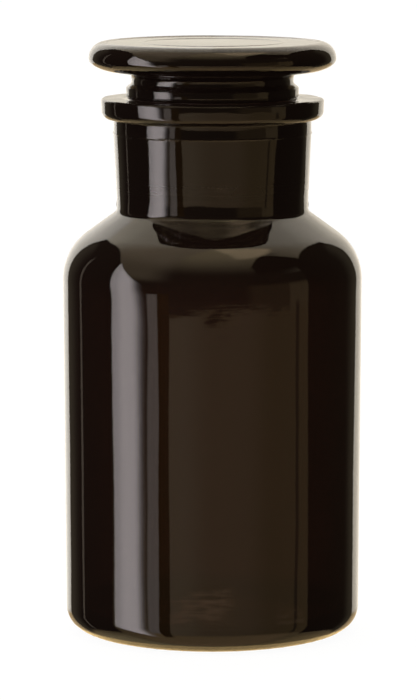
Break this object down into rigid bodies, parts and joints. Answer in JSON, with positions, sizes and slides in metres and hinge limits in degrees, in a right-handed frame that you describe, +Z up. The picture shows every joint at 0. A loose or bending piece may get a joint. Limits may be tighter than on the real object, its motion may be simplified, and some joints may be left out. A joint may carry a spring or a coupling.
{
  "type": "reagent bottle",
  "caption": "Wide-neck reagent bottle in dark amber glass, with a flat-headed ground glass stopper that lifts out of its mouth.",
  "frame": {"origin": "centre of the ring that the bottle stands on, at the level of the table", "axes": "+Z up along the axis of the bottle and its stopper; the shape is round about it, so +X and +Y are free"},
  "size_m": [0.1078, 0.1078, 0.2131],
  "materials": {
    "bottle_glass": "polished dark amber glass, frosted in the ground bore of the neck",
    "stopper_glass": "fire-polished dark amber glass, frosted on the ground plug"
  },
  "bodies": {
    "bottle": {"bottle": "bottle_glass"},
    "stopper": {"stopper": "stopper_glass"}
  },
  "joints": [
    {"name": "stopper_lift", "type": "slide", "parent": "bottle", "child": "stopper", "axis": [0, 0, 1], "range_m": [0, 0.06]}
  ]
}
